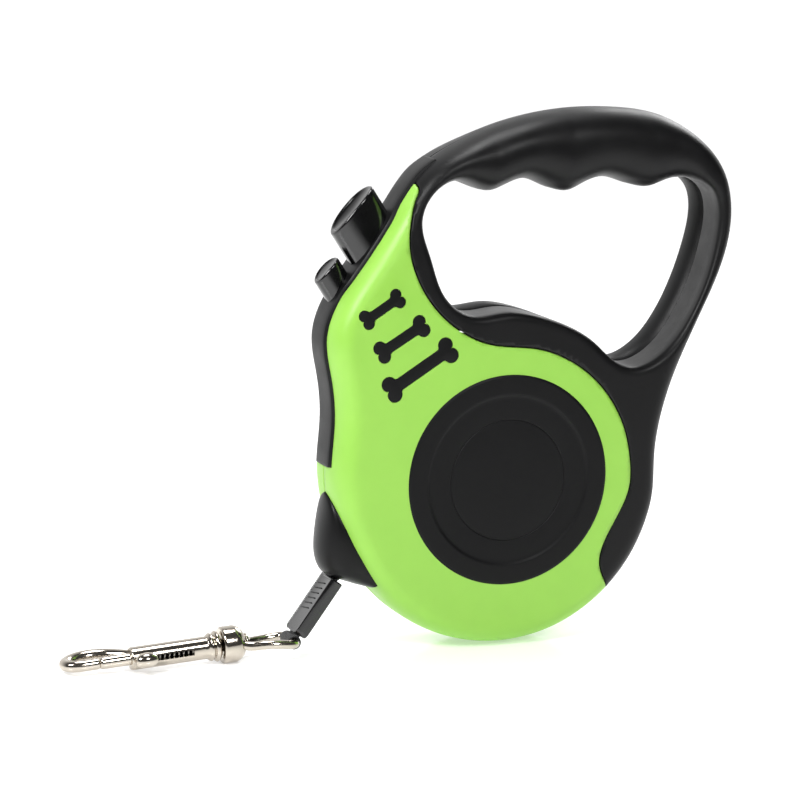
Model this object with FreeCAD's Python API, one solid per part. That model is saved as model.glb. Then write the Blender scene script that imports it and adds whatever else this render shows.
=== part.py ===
"""Retractable dog leash: two green shells overmoulded with black grips, a sprung reel of flat tape,
a brake and a lock button, a tape nozzle, and a swivelling bolt snap at the end of the tape.

Design frame, mm: the reel axis is the Y axis, X points to the back of the handle, Z up, and Y = 0 is
the parting plane of the two shells. Every solid is moved by TO_GROUND as it is written, which puts
the middle of the bottom of the whole object at the origin.
"""
import FreeCAD, Part
import math
import os

V = FreeCAD.Vector
Y_AXIS = V(0, 1, 0)

# ---- driving dimensions, mm ----
LOBE_R = 52.5           # round lobe of the housing, which also stands on the ground
HALF_DEPTH = 14.0       # half thickness of the housing
WALL = 2.3
REEL_ROOM_R = 46.8
ROOM_HALF_DEPTH = HALF_DEPTH - WALL
GAP = 0.3               # gap between parts of different bodies
DISC_R = 32.3           # black side disc

TAPE_WIDTH = 8.0
TAPE_THICK = 0.8
TAPE_PITCH = 0.85
TAPE_TURNS = 15         # about 3 m of tape
DRUM_R = 25.0
ROLL_R = DRUM_R + TAPE_TURNS * TAPE_PITCH
FLANGE_HALF = TAPE_WIDTH / 2 + 1.2
FLANGE_R = 43.0
RATCHET_R = 45.0
RATCHET_TEETH = 30
RATCHET_DEPTH = 3.4
RATCHET_THICK = 2.4
COVER_THICK = 1.8
BOSS_FACE = 9.2         # where the shells carry the arbor
ARBOR_R = 4.5
SPRING_CUP_R = 21.4
SPRING_PITCH = 1.4
SPRING_THICK = 0.3

EXIT = V(-0.6, 0, -0.8)             # way the tape leaves the mouth
BLOCK_TOP = V(-52.1, 0, -29.2)      # top of the stopper block, just outside the mouth
BLOCK_START = 0.9
BLOCK_LENGTH = 19.4
BLOCK_WIDTH = 9.6
BLOCK_THICK = 4.2
TAPE_TO_BAR = 23.0
EYE_BAR = BLOCK_TOP + EXIT * TAPE_TO_BAR    # axis of the eye's cross bar
BAR_R = 1.5
LOOP_R = BAR_R + 0.15               # inside of the tape's loop round the bar

PRESS = math.radians(122)           # way the buttons stick out, from +X towards +Z
BUTTON_OUT = V(math.cos(PRESS), 0, math.sin(PRESS))
BUTTON_SIDE = V(math.sin(PRESS), 0, -math.cos(PRESS))
BRAKE_LINE = BUTTON_SIDE * 5.5      # the brake button's axis runs through this point
BRAKE_WIDTH = 18.2
BRAKE_DEPTH = 10.6
BRAKE_FOOT = 77.0                   # where its head starts, along BUTTON_OUT
BRAKE_TOP = 96.0
BRAKE_STEM_END = 54.8
LOCK_LINE = BUTTON_SIDE * -10.8
LOCK_WIDTH = 9.8
LOCK_DEPTH = 7.6
LOCK_FOOT = 71.5
LOCK_TOP = 85.2
LOCK_STEM_END = 62.0
BUTTON_GAP = 0.35                   # between a button's head and the housing
PAWL_PIVOT = V(-38.5, 0, 32.0)
PAWL_TIP = V(-26.3, 0, 37.75)

COLLAR = V(-86.0, 0, -47.1)         # middle of the swivel collar
HOOK_TILT = 3.0                     # the hook lies tip down by this many degrees
HOOK_REACH = 52.2                   # collar middle to the outside of the jaw
BARREL_R = 3.5
BORE_R = 2.5
PIN_R = 2.0                         # swivel pin in the collar
PIN_HEAD_R = 2.7

BACK_X = 77.9                       # outermost point of the rear strut
TIP_X = COLLAR.x - HOOK_REACH * math.cos(math.radians(HOOK_TILT))
TO_GROUND = V(-(BACK_X + TIP_X) / 2, 0, LOBE_R)

SCREWS = [(-49.2, 29.5), (6.0, 100.3), (63.8, 96.2), (51.2, 25.0)]
SCREW_R = 1.25
SCREW_HEAD_R = 2.8
SCREW_BOSS_R = 3.4
HEAD_SEAT = 9.0                     # depth in Y of the screw heads' seats in the back shell
POCKET_HALF_DEPTH = 9.5             # room for the pawl and the feet of the buttons


# ---- small helpers ----
def rod(x, z, radius, y0, y1):
    """Round bar along Y."""
    return Part.makeCylinder(radius, y1 - y0, V(x, y0, z), Y_AXIS)


def prism(wire, y0, y1):
    """Solid between y0 and y1 on a closed outline that lies in the plane y = 0."""
    solid = Part.Face(wire).extrude(V(0, y1 - y0, 0))
    solid.translate(V(0, y0, 0))
    return solid


def polygon(points):
    corners = [V(x, 0, z) for x, z in points]
    return Part.makePolygon(corners + corners[:1])


def smooth(points):
    """Closed smooth curve through the points (x, z)."""
    curve = Part.BSplineCurve()
    curve.interpolate(Points=[V(x, 0, z) for x, z in points], PeriodicFlag=True)
    return curve


def spline_edge(points):
    """Smooth open curve through the points."""
    curve = Part.BSplineCurve()
    curve.interpolate(Points=points)
    return curve.toShape()


def arc_points(radius, start, stop, count):
    """Points (x, z) on a circle about the reel axis, angles in degrees from +X towards +Z."""
    angles = [math.radians(start + (stop - start) * i / (count - 1)) for i in range(count)]
    return [(radius * math.cos(a), radius * math.sin(a)) for a in angles]


def inset_wire(curve, depth_at, share, y, count=96, pieces=4):
    """The curve moved inwards by share times depth_at(point), in the plane y, cut into a few edges.

    A walk anticlockwise has the inside on its left. A negative depth moves the curve outwards.
    """
    first, last = curve.FirstParameter, curve.LastParameter
    moved = []
    for i in range(count):
        at = first + (last - first) * i / count
        point = curve.value(at)
        along = curve.tangent(at)[0]
        step = depth_at(point) * share
        moved.append(V(point.x - along.z * step, y, point.z + along.x * step))
    ring = Part.BSplineCurve()
    ring.interpolate(Points=moved, PeriodicFlag=True)
    cuts = [ring.FirstParameter]
    cuts += [ring.parameter(moved[count * k // pieces]) for k in range(1, pieces)]
    cuts.append(ring.LastParameter)
    return Part.Wire([ring.toShape(a, b) for a, b in zip(cuts, cuts[1:])])


def crowned(curve, depth_at, half_depth, over=0.0, angles=(0, 25, 45, 62, 78, 90)):
    """Half solid from y = 0 to y = -half_depth whose rim is a quarter ellipse in depth.

    A tool for cutting reaches past both end planes by over.
    """
    wires = []
    for degrees in angles:
        a = math.radians(degrees)
        y = -half_depth * math.sin(a)
        y += over if degrees == angles[0] else 0
        y -= over if degrees == angles[-1] else 0
        wires.append(inset_wire(curve, depth_at, 1 - math.cos(a), y))
    return Part.makeLoft(wires, True, False)


def flip(shape):
    """The same shape on the back half."""
    return shape.mirror(V(0, 0, 0), Y_AXIS)


def oval_post(foot, length, width, depth):
    """Post along BUTTON_OUT with an oval section: width along BUTTON_SIDE and depth along Y."""
    ring = Part.Ellipse(V(0, 0, 0), max(width, depth) / 2, min(width, depth) / 2)
    face = Part.Face(Part.Wire([ring.toShape()]))
    post = face.extrude(V(0, 0, length))
    long_way = BUTTON_SIDE if width >= depth else Y_AXIS
    turn = FreeCAD.Rotation(long_way, BUTTON_OUT.cross(long_way), BUTTON_OUT, "ZXY")
    post.Placement = FreeCAD.Placement(foot, turn)
    return post


def coil(start, along, radius, wire_radius, length, turns):
    """Coil spring about the line from start along the given way."""
    helix = Part.makeHelix(length / turns, length, radius)
    ring = Part.Wire([Part.Circle(V(radius, 0, 0), Y_AXIS, wire_radius).toShape()])
    spring = Part.Wire(helix.Edges).makePipeShell([ring], True, True)
    spring.Placement = FreeCAD.Placement(start, FreeCAD.Rotation(V(0, 0, 1), along))
    return spring


def spiral_band(inner_radius, pitch, turns, thick, half_width):
    """Strip wound in half circles whose centres swap by half a pitch, so its radius grows evenly."""
    edges = []
    for radius in (inner_radius, inner_radius + thick):
        for half in range(turns * 2):
            r = radius + pitch / 2 * half
            centre_x = 0 if half % 2 == 0 else pitch / 2
            up = 1 if half % 2 == 0 else -1
            edges.append(Part.Arc(V(centre_x + up * r, 0, 0), V(centre_x, 0, up * r),
                                  V(centre_x - up * r, 0, 0)).toShape())
    for x in (inner_radius, inner_radius + pitch * turns):
        edges.append(Part.makeLine(V(x, 0, 0), V(x + thick, 0, 0)))
    return prism(Part.Wire(Part.__sortEdges__(edges)), -half_width, half_width)


# ---- outlines of the housing ----
def outer_outline():
    """Round lobe, rear strut, arched handle, button shoulder and front edge, anticlockwise."""
    return smooth(
        arc_points(LOBE_R, 214, 364, 13)
        + [(53.6, 12.5), (58.5, 28.3), (68.0, 48.5), (75.6, 65.7), (BACK_X, 77.5), (74.5, 93.1)]
        + [(65.2, 103.3), (55.8, 108.7), (41.0, 111.6), (26.9, 112.0), (7.1, 109.3), (-12.8, 102.4)]
        + [(-24.8, 95.0), (-33.4, 83.8), (-43.5, 69.0), (-51.8, 57.5), (-56.0, 46.0), (-54.6, 33.5)]
        + [(-53.6, 20.3), (-54.8, 5.0), (-53.2, -8.5), (-49.0, -20.0)])


def hole_outline():
    """Hand hole, anticlockwise, with three bumps between the four finger hollows."""
    return smooth(
        [(-27.0, 80.0), (-24.6, 69.7), (-19.6, 56.7), (-11.0, 51.2), (0.6, 51.7), (10.6, 50.0)]
        + [(20.6, 46.2), (29.5, 40.5), (36.0, 34.6), (42.6, 32.2), (50.6, 34.7), (60.4, 44.9)]
        + [(65.8, 55.0), (70.6, 69.7), (71.7, 78.5), (69.6, 85.7), (62.0, 89.6), (49.0, 87.2)]
        + [(34.5, 90.5), (21.4, 87.1), (8.4, 91.1), (-3.0, 88.0), (-15.0, 91.6), (-23.6, 88.0)])


def rim_depth(point):
    """In-plane depth of the crowned rim: deep on the round handle, shallow on the flat strut."""
    if point.z > 84:
        return 8.5 if point.x < 58 else 4.5
    if point.x > 54:
        return 4.2
    if point.x < -40 and point.z > 30:
        return 4.8
    return 7.0


def hole_depth(point):
    """The hole's rim is round under the handle and nearly square on the body."""
    if point.z > 84 and -20 < point.x < 66:
        return -6.0
    return -2.5


def black_region():
    """Everything the black overmould covers on the faces: handle, rear strut and right crescent."""
    edge = [(-27.2, 130.0), (-27.2, 95.0), (-28.8, 91.8), (-30.4, 87.0), (-31.9, 78.0), (-30.0, 65.0)]
    edge += [(-24.0, 54.5), (-15.0, 46.5)]
    edge += arc_points(41.3, 98, -12, 12)
    edge += [(35.0, -18.0), (31.6, -25.0), (31.0, -29.5), (34.0, -36.5), (45.0, -60.0)]
    edge += [(100.0, -60.0), (100.0, 130.0)]
    return prism(polygon(edge), -20, 20)


def button_surround():
    """The overmould's band round the feet of the buttons."""
    edge = [(-26.5, 100.0), (-26.5, 91.0), (-31.4, 84.0), (-36.0, 78.0), (-39.6, 72.5), (-47.0, 63.5)]
    edge += [(-52.5, 55.5), (-70.0, 55.5), (-70.0, 100.0)]
    return prism(polygon(edge), -6.8, 6.8)


def front_strip():
    """Black strip that runs from the button band down the front edge."""
    return prism(polygon([(-52.5, 55.5), (-51.6, 5.0), (-70.0, 9.0), (-70.0, 55.5)]), -5.5, 5.5)


def front_pocket():
    """Room inside the front of the housing for the pawl and the feet of the buttons.

    The boss of the front screw stands in it.
    """
    edge = [(-50.0, 50.5), (-50.5, 36.0), (-44.0, 24.0), (-30.0, 30.0), (-14.5, 40.0), (-14.0, 46.5)]
    edge += [(-19.5, 50.5), (-23.5, 57.5), (-28.5, 70.0), (-31.0, 80.0), (-34.5, 77.0)]
    edge += [(-39.5, 69.5), (-46.5, 60.0)]
    boss_x, boss_z = SCREWS[0]
    boss = rod(boss_x, boss_z, SCREW_BOSS_R, -POCKET_HALF_DEPTH - 1, POCKET_HALF_DEPTH + 1)
    return prism(polygon(edge), -POCKET_HALF_DEPTH, POCKET_HALF_DEPTH).cut(boss)


def nozzle_outline():
    """Bulging hood over the front lower edge, anticlockwise."""
    return smooth([(-55.0, -2.4), (-56.2, -8.5), (-57.7, -17.0), (-57.6, -23.0), (-55.6, -27.2),
                   (-50.8, -29.6), (-45.2, -31.6), (-43.2, -28.4), (-45.4, -21.5), (-50.4, -10.5)])


# ---- way of the tape from the roll to the mouth ----
def tape_bend():
    """Where the tape turns in the nozzle, its tangent point on the roll, and the guide pin."""
    bend = BLOCK_TOP - EXIT * 7.5
    clear_r = ROLL_R + TAPE_PITCH + TAPE_THICK / 2 + GAP
    reach = math.hypot(bend.x, bend.z)
    touch = math.atan2(bend.z, bend.x) - math.acos(clear_r / reach)
    tangent = V(clear_r * math.cos(touch), 0, clear_r * math.sin(touch))
    down = (bend - tangent).normalize()
    inner = (V(down.z, 0, -down.x) + V(EXIT.z, 0, -EXIT.x)).normalize()
    turn = down.getAngle(EXIT)
    radius = BAR_R + 0.1 + TAPE_THICK / 2
    pin = bend + inner * (radius / math.cos(turn / 2))
    return tangent, down, pin, radius


def tape_path_wire(half):
    """Closed side outline of the tape between the roll and the mouth, half thick each way."""
    tangent, down, pin, radius = tape_bend()
    first = V(-down.z, 0, down.x)
    second = V(-EXIT.z, 0, EXIT.x)
    middle = (first + second).normalize()
    mouth = BLOCK_TOP - EXIT * 0.2
    sides = []
    for r in (radius - half, radius + half):
        start = tangent + first * (r - radius)
        finish = mouth + second * (r - radius)
        sides.append((start, pin + first * r, pin + middle * r, pin + second * r, finish))
    edges = []
    for start, into, middle_point, out, finish in sides:
        edges.append(Part.makeLine(start, into))
        edges.append(Part.Arc(into, middle_point, out).toShape())
        edges.append(Part.makeLine(out, finish))
    edges.append(Part.makeLine(sides[0][0], sides[1][0]))
    edges.append(Part.makeLine(sides[0][-1], sides[1][-1]))
    return Part.Wire(Part.__sortEdges__(edges))


# ---- housing ----
def housing_parts(nozzle_hull):
    """Front and back shells in green, their black overmoulded grips and the strips down the edge."""
    block = crowned(outer_outline(), rim_depth, HALF_DEPTH)
    half = block.cut(crowned(hole_outline(), hole_depth, HALF_DEPTH, over=0.5))
    room = rod(0, 0, REEL_ROOM_R, -ROOM_HALF_DEPTH, 0.5)
    half = half.cut(room).cut(front_pocket()).cut(nozzle_hull)
    half = half.fuse(rod(0, 0, 9.0, -ROOM_HALF_DEPTH - 0.5, -BOSS_FACE))
    half = half.cut(rod(0, 0, 3.0, -12.6, 0))
    half = half.cut(rod(0, 0, DISC_R, -HALF_DEPTH - 1, -HALF_DEPTH + 1.1))
    clear = 2 * BUTTON_GAP
    half = half.cut(oval_post(BRAKE_LINE + BUTTON_OUT * 70, 30, BRAKE_WIDTH + clear, BRAKE_DEPTH + clear))
    half = half.cut(oval_post(LOCK_LINE + BUTTON_OUT * 66, 30, LOCK_WIDTH + clear, LOCK_DEPTH + clear))
    half = half.cut(prism(tape_path_wire(1.1), -FLANGE_HALF, 0.5))
    for x, z in SCREWS:
        half = half.cut(rod(x, z, SCREW_R, -10.5, 0.5))
    half = half.cut(rod(PAWL_PIVOT.x, PAWL_PIVOT.z, 1.5, -11.0, 0.5))
    handle_area = black_region().fuse(button_surround())
    strip_area = front_strip()
    grip = half.common(handle_area)
    strip = half.common(strip_area)
    shell = half.cut(handle_area).cut(strip_area)
    back_half_holes = [rod(x, z, SCREW_R + GAP, 0, 20).fuse(rod(x, z, SCREW_HEAD_R + 0.1, HEAD_SEAT, 20))
                       for x, z in SCREWS]
    shell_back = flip(shell)
    grip_back = flip(grip)
    for hole_cut in back_half_holes:
        shell_back = shell_back.cut(hole_cut)
        grip_back = grip_back.cut(hole_cut)
    for side, sign in (("front", -1), ("back", 1)):
        for name, bone in bone_solids(sign).items():
            if side == "front":
                shell = shell.cut(bone)
            else:
                shell_back = shell_back.cut(bone)
    parts = {"shell_front": shell, "shell_back": shell_back}
    parts.update({"grip_front": grip, "grip_back": grip_back})
    parts.update({"edge_strip_front": strip, "edge_strip_back": flip(strip)})
    return parts


def dog_bone(size, angle, centre, y0):
    """Dog bone 0.6 mm deep from y0: a bar with two round lobes at each end."""
    length, half_gap, lobe, half_bar = size
    bone = Part.makeBox(length, BONE_DEPTH, 2 * half_bar, V(-length / 2, y0, -half_bar))
    for x in (-length / 2, length / 2):
        for z in (-half_gap, half_gap):
            bone = bone.fuse(Part.makeCylinder(lobe, BONE_DEPTH, V(x, y0, z), Y_AXIS))
    bone = bone.removeSplitter()
    bone.rotate(V(0, 0, 0), Y_AXIS, -angle)
    bone.translate(V(centre[0], 0, centre[1]))
    return bone


BONE_DEPTH = 0.6
BONES = {"small": ((11.6, 1.35, 1.7, 1.4), 31, (-41.0, 55.1)),
         "middle": ((14.6, 1.55, 1.95, 1.6), 30, (-34.8, 45.7)),
         "large": ((21.2, 1.9, 2.25, 1.85), 31, (-28.9, 36.0))}


def bone_solids(sign):
    """Flush inlays on one face."""
    y0 = -HALF_DEPTH if sign < 0 else HALF_DEPTH - BONE_DEPTH
    return {name: dog_bone(size, angle, centre, y0) for name, (size, angle, centre) in BONES.items()}


def side_disc(sign):
    """Black cap with a raised rim ring and a sunk middle."""
    y0 = HALF_DEPTH - 1.1
    cap = Part.makeCylinder(DISC_R - 0.15, 1.5, V(0, y0, 0), Y_AXIS)
    cap = cap.cut(Part.makeCone(26.0, 26.6, 0.4, V(0, y0 + 1.2, 0), Y_AXIS))
    groove = Part.makeCylinder(18.9, 0.3, V(0, y0 + 1.0, 0), Y_AXIS)
    groove = groove.cut(Part.makeCylinder(18.5, 0.3, V(0, y0 + 1.0, 0), Y_AXIS))
    cap = cap.cut(groove)
    return cap if sign > 0 else flip(cap)


def nozzle_solids():
    """Hood of the nozzle, and the same outline solid that the shells make room for.

    Its side outline is cut with a plan outline that bows round the front edge.
    """
    half_depth = 12.2
    plan = [V(-40, -half_depth, -40), V(-40, half_depth, -40), V(-48.0, half_depth, -40)]
    bow = [V(-48.0, half_depth, -40), V(-53.0, half_depth - 1.8, -40), V(-56.4, 6.4, -40),
           V(-57.8, 0, -40), V(-56.4, -6.4, -40), V(-53.0, 1.8 - half_depth, -40),
           V(-48.0, -half_depth, -40)]
    edges = [Part.makeLine(plan[0], plan[1]), Part.makeLine(plan[1], plan[2]), spline_edge(bow),
             Part.makeLine(bow[-1], plan[0])]
    barrel = Part.Face(Part.Wire(edges)).extrude(V(0, 0, 50))
    hull = prism(Part.Wire([nozzle_outline().toShape()]), -half_depth, half_depth).common(barrel)
    hood = hull.cut(rod(0, 0, REEL_ROOM_R, -20, 20))
    hood = hood.cut(prism(tape_path_wire(1.0), -TAPE_WIDTH / 2 - 0.5, TAPE_WIDTH / 2 + 0.5))
    mouth = BLOCK_TOP - EXIT * 0.6
    gap = Part.makeBox(BLOCK_THICK + 0.8, BLOCK_WIDTH + 0.8, 8,
                       V(-BLOCK_THICK / 2 - 0.4, -BLOCK_WIDTH / 2 - 0.4, 0))
    gap.Placement = FreeCAD.Placement(mouth, along_tape())
    hood = hood.cut(gap)
    pin = tape_bend()[2]
    hood = hood.cut(rod(pin.x, pin.z, BAR_R, -9.5, 9.5))
    return hull, hood


def screw(x, z, y_tip, y_head, shank, head):
    body = rod(x, z, shank, y_tip, y_head)
    cap = rod(x, z, head, y_head, y_head + 1.6)
    cross = Part.makeBox(0.9, 0.9, 3.0, V(x - 0.45, y_head + 0.8, z - 1.5))
    cross = cross.fuse(Part.makeBox(3.0, 0.9, 0.9, V(x - 1.5, y_head + 0.8, z - 0.45)))
    return body.fuse(cap).cut(cross)


# ---- reel ----
def ratchet_teeth():
    """Notched rim: one side of each notch is radial, so the pawl holds against the pull."""
    points = []
    first = math.atan2(PAWL_TIP.z, PAWL_TIP.x)
    pitch = 2 * math.pi / RATCHET_TEETH
    for i in range(RATCHET_TEETH):
        root = first + pitch * i
        for turn, radius in ((-0.16, RATCHET_R - RATCHET_DEPTH), (0.16, RATCHET_R - RATCHET_DEPTH),
                             (0.30, RATCHET_R), (0.70, RATCHET_R)):
            a = root + turn * pitch
            points.append((radius * math.cos(a), radius * math.sin(a)))
    return polygon(points)


def reel_parts():
    half = FLANGE_HALF
    bore = rod(0, 0, ARBOR_R + 0.05, -12, 12)
    wall = rod(0, 0, DRUM_R, -half, half).cut(rod(0, 0, SPRING_CUP_R, -half, half))
    drum = prism(ratchet_teeth(), half, half + RATCHET_THICK).fuse(wall).cut(bore)
    cover = rod(0, 0, FLANGE_R, -half - COVER_THICK, -half).cut(bore)
    screws = []
    for i in range(3):
        a = math.radians(90 + 120 * i)
        x, z = 23.2 * math.cos(a), 23.2 * math.sin(a)
        cover = cover.cut(rod(x, z, 1.0, -half - 2, -half + 1))
        drum = drum.cut(rod(x, z, 1.0, -half - 1, 0))
        pin = rod(x, z, 1.0, 0.5, half + COVER_THICK)
        pin = pin.fuse(rod(x, z, 2.1, half + COVER_THICK, half + COVER_THICK + 1.1))
        screws.append(flip(pin))
    roll = spiral_band(DRUM_R + 0.02, TAPE_PITCH, TAPE_TURNS, TAPE_THICK, TAPE_WIDTH / 2)
    turns = int((SPRING_CUP_R - ARBOR_R - 1.0) / SPRING_PITCH)
    spring = spiral_band(ARBOR_R + 0.1, SPRING_PITCH, turns, SPRING_THICK, TAPE_WIDTH / 2 - 0.1)
    return {"reel_drum": drum, "reel_cover": cover, "reel_cover_screws": Part.makeCompound(screws),
            "tape_roll": roll, "power_spring": spring}


def spring_arbor():
    """Fixed axle of the reel, slotted for the inner end of the power spring."""
    arbor = rod(0, 0, ARBOR_R, -BOSS_FACE + 0.1, BOSS_FACE - 0.1).fuse(rod(0, 0, 2.95, -12.4, 12.4))
    return arbor.cut(Part.makeBox(3.0, 12, 0.5, V(ARBOR_R - 2.5, -6, -0.25)))


def washer(y0, y1):
    return rod(0, 0, 8.0, y0, y1).cut(rod(0, 0, ARBOR_R + 0.1, y0, y1))


# ---- brake and lock ----
def above_slant(point, tilt):
    """Big block above a plane through the point, tipped by tilt degrees from square to BUTTON_OUT."""
    cut = Part.makeBox(60, 40, 30, V(-30, -20, 0))
    turn = FreeCAD.Rotation(Y_AXIS, 90 - math.degrees(PRESS) - tilt)
    cut.Placement = FreeCAD.Placement(point, turn)
    return cut


def brake_button():
    """Large oval thumb button with a slanted, dished top, on a stem that pushes the pawl."""
    head = oval_post(BRAKE_LINE + BUTTON_OUT * BRAKE_FOOT, 24, BRAKE_WIDTH, BRAKE_DEPTH)
    head = head.cut(above_slant(BRAKE_LINE + BUTTON_OUT * BRAKE_TOP, 16))
    dish_r = 40.0
    dish_centre = BRAKE_LINE + BUTTON_OUT * (BRAKE_TOP + dish_r - 2.2) - BUTTON_SIDE * 11.0
    head = head.cut(Part.makeSphere(dish_r, dish_centre))
    stem = oval_post(BRAKE_LINE + BUTTON_OUT * BRAKE_STEM_END, 24, 5.0, 5.0)
    return head.fuse(stem)


def lock_button():
    """Small oval lock button with a slanted top."""
    head = oval_post(LOCK_LINE + BUTTON_OUT * LOCK_FOOT, 18, LOCK_WIDTH, LOCK_DEPTH)
    head = head.cut(above_slant(LOCK_LINE + BUTTON_OUT * LOCK_TOP, 15))
    stem = oval_post(LOCK_LINE + BUTTON_OUT * LOCK_STEM_END, 10, 3.6, 3.6)
    return head.fuse(stem)


def brake_pawl():
    """Lever from the pawl pin to a tooth over the ratchet, with a pad under the button's stem."""
    arm = [(-43.2, 41.6), (-41.6, 35.2), (-39.8, 29.6), (-29.2, 39.4), (-22.6, 44.6), (-19.8, 47.0)]
    arm += [(-22.0, 49.9), (-26.4, 47.1), (-29.5, 44.8), (-38.0, 37.0), (-41.2, 42.4)]
    pad = prism(polygon([(-22.6, 44.6), (-19.8, 47.0), (-22.0, 49.9), (-26.4, 47.1)]), -2.4, 9.2)
    outward = V(PAWL_TIP.x, 0, PAWL_TIP.z).normalize()
    across = V(outward.z, 0, -outward.x)
    corners = []
    for rise, side in ((0, -0.5), (0, 0.5), (5.0, 1.5), (5.0, -1.5)):
        corner = PAWL_TIP + outward * rise + across * side
        corners.append((corner.x, corner.z))
    lever = prism(polygon(arm), 6.4, 9.2).fuse(prism(polygon(corners), 6.4, 9.2))
    lever = lever.fuse(pad).fuse(rod(PAWL_PIVOT.x, PAWL_PIVOT.z, 3.2, 4.2, 9.2))
    return lever.cut(rod(PAWL_PIVOT.x, PAWL_PIVOT.z, 1.55, 0, 12))


# ---- stopper block and bolt snap ----
def along_tape():
    """Turn that puts +Z along the tape, +Y across it, and -X on its upper outer side."""
    return FreeCAD.Rotation(V(-EXIT.z, 0, EXIT.x), V(0, 1, 0), EXIT, "ZXY")


def stopper():
    """Flat block clamped round the tape, with a row of grip slots across its outer face."""
    half_w = BLOCK_WIDTH / 2
    slot_half = TAPE_WIDTH / 2 + 0.2
    block = Part.makeBox(BLOCK_THICK, BLOCK_WIDTH, BLOCK_LENGTH, V(-BLOCK_THICK / 2, -half_w, 0))
    long_edges = [e for e in block.Edges if abs(e.Vertexes[0].Z - e.Vertexes[1].Z) > 1]
    block = block.makeFillet(0.6, long_edges)
    block = block.cut(Part.makeBox(TAPE_THICK + 0.3, 2 * slot_half, BLOCK_LENGTH + 2,
                                   V(-TAPE_THICK / 2 - 0.15, -slot_half, -1)))
    for i in range(6):
        z = 2.4 + 1.8 * i
        block = block.cut(Part.makeBox(0.6, 4.6, 0.7, V(-BLOCK_THICK / 2 - 0.1, -2.3, z)))
    block.Placement = FreeCAD.Placement(BLOCK_TOP + EXIT * BLOCK_START, along_tape())
    return block


def tape_lead():
    """Tape from the mouth through the stopper block, ending on the outside of the loop."""
    ribbon = Part.makeBox(TAPE_THICK, TAPE_WIDTH, TAPE_TO_BAR - BAR_R,
                          V(-TAPE_THICK / 2, -TAPE_WIDTH / 2, 0))
    ribbon.Placement = FreeCAD.Placement(BLOCK_TOP + EXIT * 0.1, along_tape())
    return ribbon.cut(rod(EYE_BAR.x, EYE_BAR.z, LOOP_R + TAPE_THICK + 0.02, -TAPE_WIDTH, TAPE_WIDTH))


def tape_loop():
    """Sewn loop of tape round the cross bar of the eye."""
    half_w = TAPE_WIDTH / 2
    loop = rod(EYE_BAR.x, EYE_BAR.z, LOOP_R + TAPE_THICK, -half_w, half_w)
    return loop.cut(rod(EYE_BAR.x, EYE_BAR.z, LOOP_R, -half_w, half_w))


def pipe(points, radius):
    """Round rod along a smooth line through the points."""
    edge = spline_edge(points)
    start = edge.tangentAt(edge.FirstParameter)
    ring = Part.Wire([Part.Circle(points[0], start, radius).toShape()])
    return Part.Wire([edge]).makePipeShell([ring], True, True)


def on_hook(shape):
    """From the hook's own frame, +X from the collar to the jaw, to the design frame."""
    turn = FreeCAD.Rotation(Y_AXIS, 180 - HOOK_TILT)
    moved = shape.copy()
    moved.Placement = FreeCAD.Placement(COLLAR, turn).multiply(shape.Placement)
    return moved


def turned(profile):
    """Solid of revolution about X from (x, radius) points."""
    points = [V(x, r, 0) for x, r in profile]
    points = [V(profile[0][0], 0, 0)] + points + [V(profile[-1][0], 0, 0)]
    return Part.Face(Part.makePolygon(points + points[:1])).revolve(V(0, 0, 0), V(1, 0, 0), 360)


def swivel_eye():
    """D shaped eye of round wire with a swivel collar, bored for the hook's pin and its head."""
    bar_x = EYE_BAR.x
    z = EYE_BAR.z
    left = [V(bar_x, -4.6, z), V(bar_x - 0.5, -5.5, z), V(bar_x - 1.7, -6.2, z), V(bar_x - 4.0, -6.5, z),
            V(bar_x - 9.5, -5.8, z - 0.05), V(bar_x - 14.0, -4.2, z - 0.15),
            V(COLLAR.x + 3.2, -3.2, COLLAR.z)]
    arm = pipe(left, BAR_R)
    eye = arm.fuse(flip(arm)).fuse(rod(bar_x, z, BAR_R, -5.0, 5.0))
    ring = turned([(-4.6, 3.4), (-3.4, 4.9), (-2.3, 5.7), (1.8, 5.7), (2.4, 5.2)])
    pin_bore = Part.makeCylinder(PIN_R + 0.15, 14, V(-8, 0, 0), V(1, 0, 0))
    head_room = Part.makeCylinder(PIN_HEAD_R + GAP, 3.3, V(-8, 0, 0), V(1, 0, 0))
    return eye.fuse(on_hook(ring)).cut(on_hook(pin_bore.fuse(head_room)))


def hook_body():
    """Swivel pin, two beads, slotted barrel and the fixed jaw."""
    pin = turned([(-6.4, PIN_HEAD_R), (-5.0, PIN_HEAD_R), (-5.0, PIN_R), (4.0, PIN_R)])
    beads = turned([(2.9, 3.2), (3.2, 4.4), (3.9, 4.8), (4.6, 4.4), (4.9, 3.9), (5.2, 4.2), (5.8, 4.4),
                    (6.4, 4.0), (6.9, 3.6), (7.6, BARREL_R), (30.5, BARREL_R), (30.9, 3.2)])
    jaw = pipe([V(28.0, 2.4, 0), V(32.0, 5.2, 0), V(36.5, 7.9, 0), V(41.5, 9.1, 0), V(46.2, 7.9, 0),
                V(49.6, 4.8, 0), V(49.6, 2.0, 0), V(46.6, 0.3, 0), V(40.9, 0, 0)], 1.9)
    bore = Part.makeCylinder(BORE_R, 30, V(9.0, 0, 0), V(1, 0, 0))
    slot = Part.makeBox(17.6, 6, 1.7, V(11.4, -6, -0.85))
    jaw = jaw.cut(Part.makeCylinder(BORE_R, 12, V(23.5, 0, 0), V(1, 0, 0)))
    return on_hook(pin.fuse(beads).cut(bore).cut(slot).fuse(jaw))


def hook_bolt():
    """Sliding bolt with a thicker tail in the barrel."""
    return on_hook(turned([(24.6, 2.2), (29.4, 2.2), (29.6, 1.9), (40.0, 1.9), (40.5, 1.4)]))


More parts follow.
